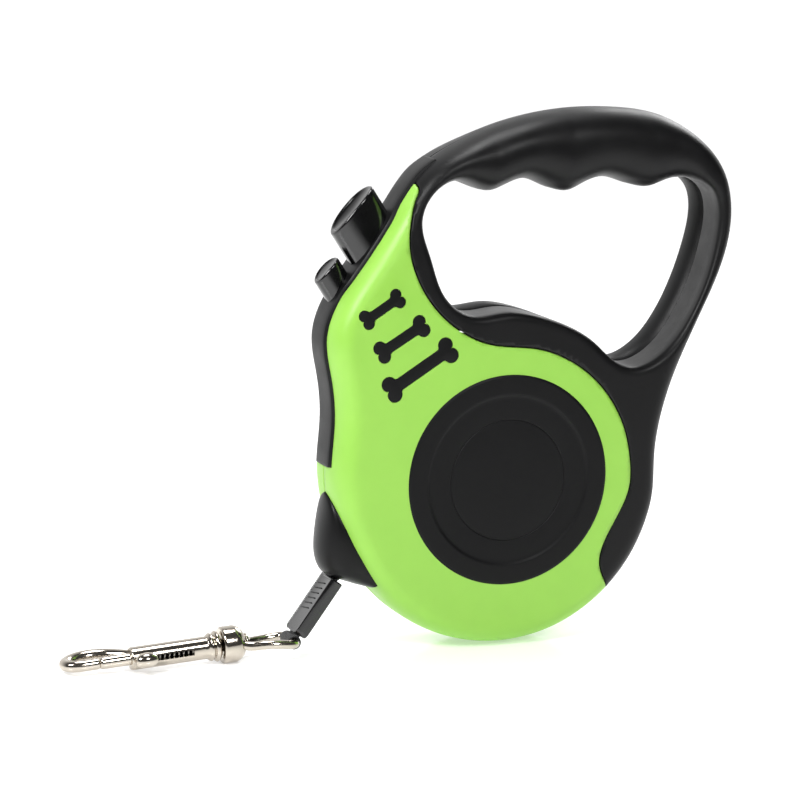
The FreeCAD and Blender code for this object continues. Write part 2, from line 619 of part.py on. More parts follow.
def bolt_knob():
    """Oval thumb knob on a short stem through the barrel's slot."""
    stem = Part.makeCylinder(0.7, 3.6, V(27.2, -4.6, 0), Y_AXIS)
    stem = stem.cut(Part.makeCylinder(2.2, 10, V(22, 0, 0), V(1, 0, 0)))
    bead = Part.makeSphere(2.5)
    stretch = FreeCAD.Matrix()
    stretch.scale(1.42, 0.84, 1.06)
    bead = bead.transformGeometry(stretch)
    bead.translate(V(27.2, -5.9, -0.5))
    return on_hook(stem.fuse(bead))


def build():
    nozzle_hull, hood = nozzle_solids()
    parts = housing_parts(nozzle_hull)
    parts.update(reel_parts())
    parts["tape_nozzle"] = hood
    pin = tape_bend()[2]
    parts["guide_pin"] = rod(pin.x, pin.z, BAR_R, -9.4, 9.4)
    parts["side_disc_front"] = side_disc(-1)
    parts["side_disc_back"] = side_disc(1)
    for side, sign in (("front", -1), ("back", 1)):
        for name, bone in bone_solids(sign).items():
            parts["bone_inlay_" + side + "_" + name] = bone
    parts["spring_arbor"] = spring_arbor()
    parts["washer_front"] = washer(-BOSS_FACE + 0.1, -FLANGE_HALF - COVER_THICK - GAP)
    parts["washer_back"] = washer(FLANGE_HALF + RATCHET_THICK + GAP, BOSS_FACE - 0.1)
    parts["housing_screws"] = Part.makeCompound(
        [screw(x, z, -10.2, HEAD_SEAT, SCREW_R, SCREW_HEAD_R) for x, z in SCREWS])
    parts["brake_button"] = brake_button()
    parts["lock_button"] = lock_button()
    parts["brake_pawl"] = brake_pawl()
    parts["pawl_pin"] = rod(PAWL_PIVOT.x, PAWL_PIVOT.z, 1.5, -10.9, 10.9)
    parts["brake_spring"] = coil(BRAKE_LINE + BUTTON_OUT * 62, BUTTON_OUT, 4.0, 0.45, 14.5, 6)
    parts["lock_spring"] = coil(LOCK_LINE + BUTTON_OUT * 64, BUTTON_OUT, 2.7, 0.35, 7.0, 5)
    parts["tape_run"] = prism(tape_path_wire(TAPE_THICK / 2), -TAPE_WIDTH / 2, TAPE_WIDTH / 2)
    parts["tape_lead"] = tape_lead()
    parts["tape_loop"] = tape_loop()
    parts["tape_stopper"] = stopper()
    parts["swivel_eye"] = swivel_eye()
    parts["hook_body"] = hook_body()
    parts["hook_bolt"] = hook_bolt()
    parts["bolt_knob"] = bolt_knob()
    parts["bolt_spring"] = on_hook(coil(V(9.4, 0, 0), V(1, 0, 0), 1.95, 0.25, 14.9, 10))
    return parts


os.makedirs("parts", exist_ok=True)
for node, shape in build().items():
    placed = shape.copy()
    placed.translate(TO_GROUND)
    placed.exportStep("parts/" + node + ".step")
    box = placed.BoundBox
    print(f"{node:26s} solids {len(placed.Solids)} valid {placed.isValid()} volume {placed.Volume:9.1f}"
          f"  x {box.XMin:7.1f} {box.XMax:7.1f}  y {box.YMin:6.1f} {box.YMax:6.1f}"
          f"  z {box.ZMin:6.1f} {box.ZMax:6.1f}")
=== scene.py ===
"""Retractable dog leash: lime green shells, black rubber grips, side discs, bone inlays, thumb buttons,
tape nozzle, stopper block and a nickel plated bolt snap.

Shapes are worked out in a design frame in millimetres: the reel axis is Y, X runs from the hook to the
back of the handle, Z is up and y = 0 is the plane where the two shells meet.
"""
import math

import bpy
import numpy as np
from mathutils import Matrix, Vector, geometry, kdtree


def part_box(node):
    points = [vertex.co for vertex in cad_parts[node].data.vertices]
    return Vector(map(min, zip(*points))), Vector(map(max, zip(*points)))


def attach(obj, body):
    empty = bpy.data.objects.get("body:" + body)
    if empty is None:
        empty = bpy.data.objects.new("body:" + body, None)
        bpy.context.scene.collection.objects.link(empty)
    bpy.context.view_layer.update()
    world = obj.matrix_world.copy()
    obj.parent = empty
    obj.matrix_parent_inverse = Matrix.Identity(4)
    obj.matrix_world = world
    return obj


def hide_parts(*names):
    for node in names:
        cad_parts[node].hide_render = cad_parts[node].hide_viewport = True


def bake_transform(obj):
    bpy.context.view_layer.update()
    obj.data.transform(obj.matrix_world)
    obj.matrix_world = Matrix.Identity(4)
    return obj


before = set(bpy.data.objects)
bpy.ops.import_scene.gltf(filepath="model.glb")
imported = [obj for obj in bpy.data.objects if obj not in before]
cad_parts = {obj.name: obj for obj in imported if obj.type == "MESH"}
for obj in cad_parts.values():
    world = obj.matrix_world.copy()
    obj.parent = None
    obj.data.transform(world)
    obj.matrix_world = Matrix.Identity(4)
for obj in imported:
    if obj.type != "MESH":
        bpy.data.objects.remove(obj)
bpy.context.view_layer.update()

MM = 0.001
disc_low, disc_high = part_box("side_disc_front")
REEL_AXIS = np.array([(disc_low[0] + disc_high[0]) / 2, 0.0, (disc_low[2] + disc_high[2]) / 2])

# ---- sizes, mm ----
LOBE_R = 52.5             # round reel housing
HALF_DEPTH = 14.0
HANDLE_HALF_DEPTH = 12.7
DISC_R = 32.3
DISC_GAP = 0.3            # round each side disc
INLAY_GAP = 0.16          # round each bone
SEAT_DEPTH = 1.2          # how deep the discs and bones are let in
PARTING = 0.22            # half width of the groove between green and black
SKIN_WALL = 1.3
BAND_WALL = 0.8
RING_STEPS = (0.05, 0.2, 0.45, 0.8, 1.25, 1.8, 2.45, 3.2, 4.05, 5.0, 6.05, 7.2)
LATTICE = 1.3             # spacing of the housing's mesh away from its edges
BUTTON_ANGLE = math.radians(122)
OUT = np.array([math.cos(BUTTON_ANGLE), 0.0, math.sin(BUTTON_ANGLE)])
SIDE = np.array([math.sin(BUTTON_ANGLE), 0.0, -math.cos(BUTTON_ANGLE)])
ACROSS = np.array([0.0, 1.0, 0.0])
EXIT = np.array([-0.6, 0.0, -0.8])          # the way the tape leaves the mouth
BLOCK_TOP = np.array([-52.1, 0.0, -29.2])
EYE_BAR = BLOCK_TOP + 23.0 * EXIT
COLLAR = np.array([-86.0, 0.0, -47.1])
HOOK_TILT = math.radians(3.0)
ALONG = np.array([-math.cos(HOOK_TILT), 0.0, -math.sin(HOOK_TILT)])
ABOVE = np.array([-math.sin(HOOK_TILT), 0.0, math.cos(HOOK_TILT)])
BARREL_START, BARREL_END = 7.6, 30.5        # all these along the hook from the collar's middle
SLOT_START, SLOT_END = 11.6, 28.8
SPRING_START, SPRING_END = 9.4, 24.3
BARREL_R, BORE_R = 3.5, 2.6
SPRING_R, SPRING_WIRE_R, SPRING_TURNS = 2.15, 0.32, 10


# ---- curves ----
def spline(points, count, closed):
    """Cubic spline through the points, resampled at even steps of its length.

    The knots are the chord lengths. The second derivatives solve the usual three term equations, with
    wrapped ends on a closed curve and free ends on an open one.
    """
    knots = np.array(points, float)
    if closed:
        knots = np.vstack([knots, knots[:1]])
    chord = np.linalg.norm(np.diff(knots, axis=0), axis=1)
    n = len(chord)
    size = n if closed else n + 1
    matrix = np.zeros((size, size))
    right = np.zeros((size, knots.shape[1]))
    slope = np.diff(knots, axis=0) / chord[:, None]
    for i in range(size):
        if not closed and i in (0, n):
            matrix[i, i] = 1
            continue
        before, after = (i - 1) % n, i % n
        matrix[i, (i - 1) % size] += chord[before]
        matrix[i, i] += 2 * (chord[before] + chord[after])
        matrix[i, (i + 1) % size] += chord[after]
        right[i] = 6 * (slope[after] - slope[before])
    bend = np.linalg.solve(matrix, right)
    if closed:
        bend = np.vstack([bend, bend[:1]])
    part = np.linspace(0, 1, 41)[:-1]
    a, h = (1 - part)[None, :, None], chord[:, None, None]
    b = part[None, :, None]
    dense = (a * knots[:-1, None] + b * knots[1:, None]
             + ((a ** 3 - a) * bend[:-1, None] + (b ** 3 - b) * bend[1:, None]) * h ** 2 / 6)
    dense = np.vstack([dense.reshape(-1, knots.shape[1]), knots[-1:]])
    length = np.concatenate([[0], np.cumsum(np.linalg.norm(np.diff(dense, axis=0), axis=1))])
    wanted = np.linspace(0, length[-1], count + 1 if closed else count)
    even = np.stack([np.interp(wanted, length, dense[:, k]) for k in range(knots.shape[1])], axis=1)
    return even[:-1] if closed else even


def circle_points(radius, start, stop, count):
    """Points (x, z) on a circle about the reel axis, from one angle to another in degrees."""
    a = np.radians(np.linspace(start, stop, count))
    return list(zip(radius * np.cos(a), radius * np.sin(a)))


def inward(loop):
    """Unit normals of an anticlockwise loop (x, z), to the left of the walk, which is inside."""
    along = np.roll(loop, -1, axis=0) - np.roll(loop, 1, axis=0)
    along /= np.linalg.norm(along, axis=1)[:, None]
    return np.stack([-along[:, 1], along[:, 0]], axis=1)


def distance_to(points, loop, closed=True):
    """Distance of each point from a polyline, by projection on its nearest segments."""
    ends = np.roll(loop, -1, axis=0) if closed else loop[1:]
    starts = loop if closed else loop[:-1]
    run = ends - starts
    length2 = (run ** 2).sum(axis=1)
    out = np.empty(len(points))
    for k in range(0, len(points), 2000):
        p = points[k:k + 2000, None]
        t = np.clip(((p - starts) * run).sum(axis=2) / length2, 0, 1)
        out[k:k + 2000] = np.linalg.norm(p - starts - t[..., None] * run, axis=2).min(axis=1)
    return out


def inside(points, loop):
    """True where a point is inside the loop: a ray to +x crosses its edges an odd number of times."""
    a, b = loop, np.roll(loop, -1, axis=0)
    odd = np.zeros(len(points), bool)
    for (x0, z0), (x1, z1) in zip(a, b):
        if z0 == z1:
            continue
        crosses = (points[:, 1] > min(z0, z1)) & (points[:, 1] <= max(z0, z1))
        odd ^= crosses & (points[:, 0] < x0 + (points[:, 1] - z0) * (x1 - x0) / (z1 - z0))
    return odd


def ease(value, low, high):
    """0 below low, 1 above high, with a smooth S between."""
    t = np.clip((value - low) / (high - low), 0, 1)
    return t * t * (3 - 2 * t)


# ---- meshes ----
def ring_faces(rings, sides, closed_ends=True):
    """Quads between rows of a grid that wraps round, and a fan on each end when it is closed."""
    r, c = np.meshgrid(np.arange(rings - 1), np.arange(sides), indexing="ij")
    n = (c + 1) % sides
    quads = np.stack([r * sides + c, r * sides + n, (r + 1) * sides + n, (r + 1) * sides + c], axis=-1)
    faces = quads.reshape(-1, 4).tolist()
    if closed_ends:
        first, last = rings * sides, rings * sides + 1
        top = (rings - 1) * sides
        for k in range(sides):
            m = (k + 1) % sides
            faces.append([first, m, k])
            faces.append([last, top + k, top + m])
    return faces


def outward(verts, faces):
    """Turns a closed skin's faces over when the volume they enclose comes out negative."""
    size = 0.0
    for face in faces:
        a = verts[face[0]]
        for i, j in zip(face[1:-1], face[2:]):
            size += np.dot(a, np.cross(verts[i], verts[j]))
    return (verts, faces) if size > 0 else (verts, [face[::-1] for face in faces])


def loft(rings):
    """Closed skin over an array of rings (rows, sides, 3), with a fan at each end."""
    rows, sides = rings.shape[:2]
    ends = np.stack([rings[0].mean(axis=0), rings[-1].mean(axis=0)])
    return outward(np.vstack([rings.reshape(-1, 3), ends]), ring_faces(rows, sides))


def slab(loop, place, heights, insets):
    """Plate with rounded edges: the flat loop is repeated at each height, moved in by its inset.

    place turns (u, v, height) arrays into points.
    """
    into = inward(loop)
    rings = np.array([place(*(loop + into * inset).T, height) for height, inset in zip(heights, insets)])
    n = len(loop)
    faces = ring_faces(len(rings), n, False)
    faces += [list(range(n))[::-1], list(range((len(rings) - 1) * n, len(rings) * n))]
    return outward(rings.reshape(-1, 3), faces)


def lathe(profile, base, axis, side, sides=48):
    """Turned solid: (distance along axis, radius) pairs swept round the axis."""
    other = np.cross(axis, side)
    a = np.linspace(0, 2 * np.pi, sides, endpoint=False)
    ring = np.cos(a)[:, None] * side + np.sin(a)[:, None] * other
    profile = np.array(profile, float)
    return loft(base + profile[:, :1, None] * axis + profile[:, 1:, None] * ring[None])


def rounded(profile, radius=0.25, steps=4):
    """Profile whose corners become short arcs, each a quadratic curve cut from its two edges."""
    points = np.array(profile, float)
    out = [points[0]]
    for before, corner, after in zip(points[:-2], points[1:-1], points[2:]):
        back, ahead = before - corner, after - corner
        cut = min(radius, np.linalg.norm(back) * 0.45, np.linalg.norm(ahead) * 0.45)
        start = corner + back / max(np.linalg.norm(back), 1e-9) * cut
        stop = corner + ahead / max(np.linalg.norm(ahead), 1e-9) * cut
        for t in np.linspace(0, 1, steps + 1):
            out.append((1 - t) ** 2 * start + 2 * t * (1 - t) * corner + t * t * stop)
    out.append(points[-1])
    return np.array(out)


def frames(path):
    """Tangents and a steady sideways and upward direction along a path, carried from point to point."""
    tangent = np.gradient(path, axis=0)
    tangent /= np.linalg.norm(tangent, axis=1)[:, None]
    side = np.cross(tangent[0], [0.31, 0.2, 0.93])
    sides = []
    for t in tangent:
        side = side - side.dot(t) * t
        side /= np.linalg.norm(side)
        sides.append(side)
    sides = np.array(sides)
    return sides, np.cross(tangent, sides)


def tube(path, radius, sides=28):
    """Round rod along a path; radius may vary along it. Ends are domed by shrinking rings."""
    radius = np.broadcast_to(np.asarray(radius, float), (len(path),)).copy()
    side, up = frames(path)
    a = np.linspace(0, 2 * np.pi, sides, endpoint=False)
    ring = np.cos(a)[None, :, None] * side[:, None] + np.sin(a)[None, :, None] * up[:, None]
    dome = np.radians([15, 35, 60, 80])
    rows = [path[0] - (path[1] - path[0]) / np.linalg.norm(path[1] - path[0]) * radius[0] * 0.5 * np.cos(t)
            + ring[0] * radius[0] * np.sin(t) for t in dome]
    rows += list(path[:, None] + ring * radius[:, None, None])
    ahead = (path[-1] - path[-2]) / np.linalg.norm(path[-1] - path[-2])
    rows += [path[-1] + ahead * radius[-1] * 0.5 * np.cos(t) + ring[-1] * radius[-1] * np.sin(t)
             for t in dome[::-1]]
    return loft(np.array(rows))


def piece(name, mesh_data, material, body, slot, sharp=40):
    """Blender object from (vertices in mm, faces), moved to its place in metres and shaded smooth."""
    verts, faces = mesh_data
    mesh = bpy.data.meshes.new(name)
    mesh.from_pydata((np.asarray(verts) * MM + REEL_AXIS).tolist(), [], faces)
    mesh.validate()
    mesh.shade_smooth()
    mesh.set_sharp_from_angle(angle=math.radians(sharp))
    mesh.materials.append(material)
    obj = bpy.data.objects.new(name, mesh)
    bpy.context.scene.collection.objects.link(obj)
    if body:
        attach(obj, body)
    return obj


def join(*parts):
    """One mesh from several (vertices, faces)."""
    verts, faces, start = [], [], 0
    for v, f in parts:
        verts.append(v)
        faces += [[i + start for i in face] for face in f]
        start += len(v)
    return np.vstack(verts), faces


# ---- materials ----
def linear(code):
    """Linear colour with alpha from an sRGB hex code."""
    value = np.array([int(code[i:i + 2], 16) for i in (1, 3, 5)]) / 255
    value = np.where(value <= 0.04045, value / 12.92, ((value + 0.055) / 1.055) ** 2.4)
    return (*value.tolist(), 1.0)


def add(tree, kind, links=None, **settings):
    """Adds a node; settings are its attributes or input values, links its inputs' sources."""
    node = tree.nodes.new(kind)
    for key, value in settings.items():
        name = key.replace("_", " ")
        if hasattr(node, key):
            setattr(node, key, value)
        else:
            socket = next(s for s in node.inputs if s.name.lower() == name.lower())
            socket.default_value = value
    for name, source in (links or {}).items():
        target = node.inputs[name]
        tree.links.new(source, target)
    return node


def base_material(name, **settings):
    """Material with one Principled shader; returns the material, its tree and the shader."""
    material = bpy.data.materials.new(name)
    material.use_nodes = True
    tree = material.node_tree
    tree.nodes.clear()
    shader = add(tree, "ShaderNodeBsdfPrincipled", **settings)
    add(tree, "ShaderNodeOutputMaterial", {"Surface": shader.outputs[0]})
    return material, tree, shader


def grained(name, low, high, grain_mm, depth_mm, rough, spread, **settings):
    """Moulded surface: fine grain as bump, and a faint cloudiness of colour and roughness.

    The grain is noise at one wave per grain_mm; the clouds are about 9 mm across.
    """
    material, tree, shader = base_material(name, **settings)
    where = add(tree, "ShaderNodeTexCoord").outputs["Object"]
    clouds = add(tree, "ShaderNodeTexNoise", {"Vector": where}, Scale=1 / (9 * MM), Detail=3.0)
    grain = add(tree, "ShaderNodeTexNoise", {"Vector": where}, Scale=1 / (grain_mm * MM), Detail=2.0)
    tint = add(tree, "ShaderNodeMixRGB", {"Fac": clouds.outputs["Fac"]}, Color1=linear(low),
               Color2=linear(high))
    sheen = add(tree, "ShaderNodeMapRange", {"Value": clouds.outputs["Fac"]}, From_Min=0.3, From_Max=0.7,
                To_Min=rough - spread, To_Max=rough + spread)
    bump = add(tree, "ShaderNodeBump", {"Height": grain.outputs["Fac"]}, Strength=0.6,
               Distance=depth_mm * MM)
    tree.links.new(tint.outputs[0], shader.inputs["Base Color"])
    tree.links.new(sheen.outputs[0], shader.inputs["Roughness"])
    tree.links.new(bump.outputs[0], shader.inputs["Normal"])
    return material


def green_abs():
    """Satin moulded ABS in lime green: an even colour with a soft broad sheen from a fine spark texture."""
    return grained("satin moulded ABS lime green", "#92CB4C", "#9AD353", 0.35, 0.012, 0.42, 0.04,
                   IOR=1.54, Specular_IOR_Level=0.45, Subsurface_Weight=0.06,
                   Subsurface_Radius=(0.4, 0.8, 0.2), Subsurface_Scale=0.002)


def black_rubber():
    """Thermoplastic rubber moulded over the shells: deep black with a broad satin sheen."""
    return grained("satin moulded thermoplastic rubber", "#0B0B0C", "#101011", 0.22, 0.02, 0.42, 0.05,
                   IOR=1.5, Specular_IOR_Level=0.24)


def black_abs():
    """Spark textured black ABS of the side discs and inlays: flatter than the rubber, almost no sheen."""
    return grained("spark textured ABS black", "#0C0C0D", "#101011", 0.3, 0.02, 0.48, 0.04,
                   IOR=1.54, Specular_IOR_Level=0.16)


def hood_abs():
    """Smooth moulded black ABS of the nozzle: satin with a clear soft highlight."""
    return grained("satin moulded ABS black", "#09090A", "#0C0C0D", 0.5, 0.01, 0.36, 0.03,
                   IOR=1.54, Specular_IOR_Level=0.2)


def gloss_abs():
    """Polished tool black ABS of the buttons and stopper: mirror like, with faint handling haze."""
    return grained("glossy moulded ABS black", "#070708", "#0A0A0B", 1.2, 0.006, 0.14, 0.04,
                   IOR=1.54, Specular_IOR_Level=0.5, Coat_Weight=0.4, Coat_Roughness=0.06)


def nickel_plate():
    """Bright nickel on cast zinc: a warm mirror softened by tumbling, with a slight waviness."""
    return grained("bright nickel plated zinc", "#B9B1A6", "#C6BEB2", 2.2, 0.02, 0.12, 0.04, Metallic=1.0)


def spring_wire():
    """Drawn spring steel: metallic and a little darker and duller than the plating."""
    return grained("drawn spring steel", "#8E8A84", "#A09C95", 0.5, 0.01, 0.28, 0.05, Metallic=1.0)


def woven_tape():
    """Flat woven nylon tape: plain weave at 0.5 mm thread spacing, drawn in relief, with a soft sheen."""
    material, tree, shader = base_material("woven nylon tape black", Roughness=0.62, Sheen_Weight=0.3,
                                           Sheen_Roughness=0.4, Specular_IOR_Level=0.4)
    where = add(tree, "ShaderNodeTexCoord").outputs["UV"]
    turns = 2 * math.pi / (0.5 * MM)
    split = add(tree, "ShaderNodeSeparateXYZ", {"Vector": where})
    waves = []
    for axis in (0, 1):
        scaled = add(tree, "ShaderNodeMath", {0: split.outputs[axis]}, operation="MULTIPLY")
        scaled.inputs[1].default_value = turns
        waves.append(add(tree, "ShaderNodeMath", {0: scaled.outputs[0]}, operation="SINE"))
    weave = add(tree, "ShaderNodeMath", {0: waves[0].outputs[0], 1: waves[1].outputs[0]},
                operation="MULTIPLY")
    tint = add(tree, "ShaderNodeMapRange", {"Value": weave.outputs[0]}, From_Min=-1.0, From_Max=1.0)
    colour = add(tree, "ShaderNodeMixRGB", {"Fac": tint.outputs[0]}, Color1=linear("#0D0D0E"),
                 Color2=linear("#1C1C1E"))
    bump = add(tree, "ShaderNodeBump", {"Height": weave.outputs[0]}, Strength=0.7, Distance=0.08 * MM)
    tree.links.new(colour.outputs[0], shader.inputs["Base Color"])
    tree.links.new(bump.outputs[0], shader.inputs["Normal"])
    return material


# ---- housing ----
OUTER = circle_points(LOBE_R, 214, 364, 13) + [
    (53.6, 12.5), (58.5, 28.3), (68.0, 48.5), (75.6, 65.7), (77.9, 77.5), (74.5, 93.1), (65.2, 103.3),
    (55.8, 108.7), (41.0, 111.6), (26.9, 112.0), (7.1, 109.3), (-12.8, 102.4), (-24.8, 95.0),
    (-33.4, 83.8), (-43.5, 69.0), (-51.8, 57.5), (-56.0, 46.0), (-54.6, 33.5), (-53.6, 20.3),
    (-54.8, 5.0), (-53.2, -8.5), (-49.0, -20.0)]
HOLE = [
    (-27.0, 80.0), (-24.6, 69.7), (-19.6, 56.7), (-11.0, 51.2), (0.6, 51.7), (10.6, 50.0), (20.6, 46.2),
    (29.5, 40.5), (36.0, 34.6), (42.6, 32.2), (50.6, 34.7), (60.4, 44.9), (65.8, 55.0), (70.6, 69.7),
    (71.7, 78.5), (69.6, 85.7), (62.0, 89.6), (49.0, 87.2), (34.5, 90.5), (21.4, 87.1), (8.4, 91.1),
    (-3.0, 88.0), (-15.0, 91.6), (-23.6, 88.0)]
PARTING_LINE = [
    (-39.0, 96.2), (-33.2, 94.6), (-29.2, 93.2), (-27.6, 91.2), (-28.8, 87.6), (-30.8, 82.0), (-31.8, 75.0),
    (-30.0, 65.0), (-24.0, 54.5), (-15.0, 46.5), (-6.0, 42.4)] + circle_points(41.2, 88, -8, 9) + [
    (39.2, -10.0), (35.0, -17.6), (31.8, -24.0), (31.0, -29.0), (32.6, -34.0), (37.0, -40.5), (44.0, -48.0)]
# name: length between lobe centres, half gap of a lobe pair, lobe radius, half bar, angle, middle
BONES = {"small": (11.6, 1.35, 1.7, 1.4, 31, (-41.0, 55.1)),
         "middle": (14.6, 1.55, 1.95, 1.6, 30, (-34.8, 45.7)),
         "large": (21.2, 1.9, 2.25, 1.85, 31, (-28.9, 36.0))}


def bone_loop(length, half_gap, lobe, half_bar, angle, centre):
    """Outline of a dog bone: each end has two lobes, joined to the bar by small hollow curves.

    One quarter is drawn, an arc and three points of the neck, then mirrored left and down.
    """
    meet = math.sqrt(lobe ** 2 - half_gap ** 2)
    start = math.atan2(-half_gap, meet)
    stop = math.pi - math.asin((half_bar + 0.5 - half_gap) / lobe)
    a = np.linspace(start + 0.25, stop, 22)
    quarter = np.stack([length / 2 + lobe * np.cos(a), half_gap + lobe * np.sin(a)], axis=1)
    neck_x = quarter[-1, 0]
    neck = np.array([(neck_x - 0.35, half_bar + 0.16), (neck_x - 0.9, half_bar), (neck_x * 0.5, half_bar)])
    quarter = np.vstack([[(length / 2 + meet - 0.12, 0.0)], quarter, neck])
    upper = np.vstack([quarter, [(0, half_bar)], (quarter * np.array([-1, 1]))[::-1]])
    lower = (upper * np.array([1, -1]))[::-1][1:-1]
    loop = np.vstack([upper, lower])
    t = math.radians(angle)
    turn = np.array([[math.cos(t), math.sin(t)], [-math.sin(t), math.cos(t)]])
    return loop @ turn + np.array(centre)


outer_loop = spline(OUTER, 640, True)
hole_loop = spline(HOLE, 400, True)
parting_line = spline(PARTING_LINE, 420, False)


def depth_at(points):
    """Half thickness of the housing over each point (x, z).

    The body is a slab whose outer rim falls off as a superellipse, with a small quarter round on the hand
    hole. The grip is a superellipse from one outline to the other. A smooth weight joins the two.
    """
    x, z = points[:, 0], points[:, 1]
    to_outer = distance_to(points, outer_loop)
    to_hole = distance_to(points, hole_loop)
    full = HALF_DEPTH - (HALF_DEPTH - HANDLE_HALF_DEPTH) * ease(z, 52, 84)
    rear = ease(x, 46, 62) * ease(z, 22, 44)
    rim = 6.8 - 1.8 * rear
    wall = 1.2
    power = 2.5 - 0.3 * rear
    u = np.clip(to_outer / rim, 0, 1)
    outside = wall + (full - wall) * (1 - (1 - u) ** power) ** (1 / power)
    fillet = 2.4
    v = np.clip(to_hole / fillet, 0, 1)
    hole_side = 1 - fillet / full * (1 - np.sqrt(1 - (1 - v) ** 2))
    body = outside * hole_side
    share = np.abs(to_hole - to_outer) / (to_hole + to_outer)
    round_grip = full * np.maximum(1 - share ** 2.25, 0) ** (1 / 2.25)
    weight = ease(z, 83, 90) * ease(x, -26, -8) * (1 - ease(x, 56, 70))
    return body * (1 - weight) + np.maximum(round_grip, 0.25) * weight


def rim_rings():
    """Points on rings at growing distances inside both outlines, closer together at the edges."""
    rings = []
    for step in RING_STEPS:
        for loop, into, other in ((outer_loop, inward(outer_loop), hole_loop),
                                  (hole_loop, -inward(hole_loop), outer_loop)):
            ring = loop + into * step
            own, far = distance_to(ring, loop), distance_to(ring, other)
            rings.append(ring[(own > step * 0.97) & (far > step + 0.3)])
    return np.vstack(rings)


def lattice_points(taken):
    """Hexagonal lattice over the housing, left out next to the points already taken."""
    tree = kdtree.KDTree(len(taken))
    for i, (x, z) in enumerate(taken):
        tree.insert((x, z, 0), i)
    tree.balance()
    gx, gz = np.meshgrid(np.arange(-58, 80, LATTICE), np.arange(-54, 114, LATTICE * 0.866))
    gx = gx + (np.arange(gx.shape[0]) % 2)[:, None] * LATTICE / 2
    lattice = np.stack([gx.ravel(), gz.ravel()], axis=1)
    lattice = lattice[inside(lattice, outer_loop) & ~inside(lattice, hole_loop)]
    return np.array([p for p in lattice if tree.find((p[0], p[1], 0))[2] > 0.8])


def triangulated(free, loops, lines):
    """Constrained triangulation of free points, closed loops and open lines: points, triangles."""
    points, edges, start = [free], [], len(free)
    for line, closed in [(loop, True) for loop in loops] + [(line, False) for line in lines]:
        n = len(line)
        points.append(line)
        edges += [(start + i, start + (i + 1) % n) for i in range(n if closed else n - 1)]
        start += n
    flat = [Vector(p) for p in np.vstack(points).tolist()]
    found = geometry.delaunay_2d_cdt(flat, edges, [], 0, 1e-5)
    return np.array([tuple(v) for v in found[0]]), np.array(found[2])


def normals_along(line):
    """Unit normals of an open line (x, z), to the left of the walk."""
    along = np.gradient(line, axis=0)
    along /= np.linalg.norm(along, axis=1)[:, None]
    return np.stack([-along[:, 1], along[:, 0]], axis=1)


def housing_sheets():
    """Front half of the housing as two sheets of triangles, green and black, with a gap between.

    The discs' and bones' seats are left open. Each opening and both outlines get a straight wall; the
    parting groove gets its wall from the sheets' thickness.
    """
    normal = normals_along(parting_line)
    edges_of_gap = [parting_line + normal * PARTING, parting_line - normal * PARTING]
    seats = [np.array(circle_points(DISC_R + DISC_GAP, 0, 360, 241))[:-1]]
    for numbers in BONES.values():
        loop = bone_loop(*numbers)
        seats.append(loop - inward(loop) * INLAY_GAP)
    free = rim_rings()
    free = np.vstack([free, lattice_points(free)])
    free = free[distance_to(free, parting_line, closed=False) > PARTING + 0.3]
    for loop in seats:
        free = free[~inside(free, loop) & (distance_to(free, loop) > 0.3)]
    spots, triangles = triangulated(free, [outer_loop, hole_loop] + seats, edges_of_gap)
    middle = spots[triangles].mean(axis=1)
    inner = inside(middle, outer_loop) & ~inside(middle, hole_loop)
    for loop in seats:
        inner &= ~inside(middle, loop)
    gap = inside(middle, np.vstack([edges_of_gap[0], edges_of_gap[1][::-1]]))
    black_area = np.vstack([parting_line, [(90, -60), (110, 130), (-37, 130)]])
    black = inside(middle, black_area)
    wall_end = np.full(len(spots), np.nan)
    wall_end[(distance_to(spots, outer_loop) < 1e-3) | (distance_to(spots, hole_loop) < 1e-3)] = -0.04
    for loop in seats:
        wall_end[distance_to(spots, loop) < 1e-3] = -HALF_DEPTH + SEAT_DEPTH
    verts = np.stack([spots[:, 0], -depth_at(spots), spots[:, 1]], axis=1)
    return [with_wall(verts, triangles[inner & ~gap & area], wall_end) for area in (~black, black)]


def with_wall(verts, triangles, wall_end):
    """Adds the straight wall from an outline of the sheet to its y in wall_end, and drops unused points.

    A triangle's edge is on an outline when it has no second triangle and wall_end is set at both its ends.
    """
    a, b, c = verts[triangles[:, 0]], verts[triangles[:, 1]], verts[triangles[:, 2]]
    toward = np.cross(b - a, c - a)[:, 1]
    triangles = np.where((toward > 0)[:, None], triangles[:, ::-1], triangles)
    sides = np.vstack([triangles[:, [0, 1]], triangles[:, [1, 2]], triangles[:, [2, 0]]])
    keys = {(i, j) for i, j in sides.tolist()}
    rim = [(i, j) for i, j in keys if (j, i) not in keys and wall_end[i] == wall_end[j]]
    low = {}
    extra = []
    for i in {k for edge in rim for k in edge}:
        low[i] = len(verts) + len(extra)
        extra.append((verts[i, 0], wall_end[i], verts[i, 2]))
    faces = triangles.tolist() + [[j, i, low[i], low[j]] for i, j in rim]
    verts = np.vstack([verts, extra])
    used = sorted({k for face in faces for k in face})
    renumber = {k: n for n, k in enumerate(used)}
    return verts[used], [[renumber[k] for k in face] for face in faces]


def mirrored(mesh_data):
    """The same shape on the other side of the middle plane, with its faces turned over."""
    verts, faces = mesh_data
    return verts * np.array([1, -1, 1]), [face[::-1] for face in faces]


def thicken(obj, wall_mm):
    """Gives an open sheet its wall on the inside."""
    solid = obj.modifiers.new("wall", "SOLIDIFY")
    solid.thickness = wall_mm * MM
    solid.offset = -1
    return obj


def make_housing(green, rubber):
    """Green shell and black grip on each side, the back ones mirrored from the front."""
    for tone, sheet, material, slot in zip(("shell", "grip"), housing_sheets(), (green, rubber),
                                           ("green_shell", "black_grip")):
        for side, data in (("front", sheet), ("back", mirrored(sheet))):
            obj = thicken(piece("skin_" + tone + "_" + side, data, material, "housing", slot), SKIN_WALL)
            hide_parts(tone + "_" + side)


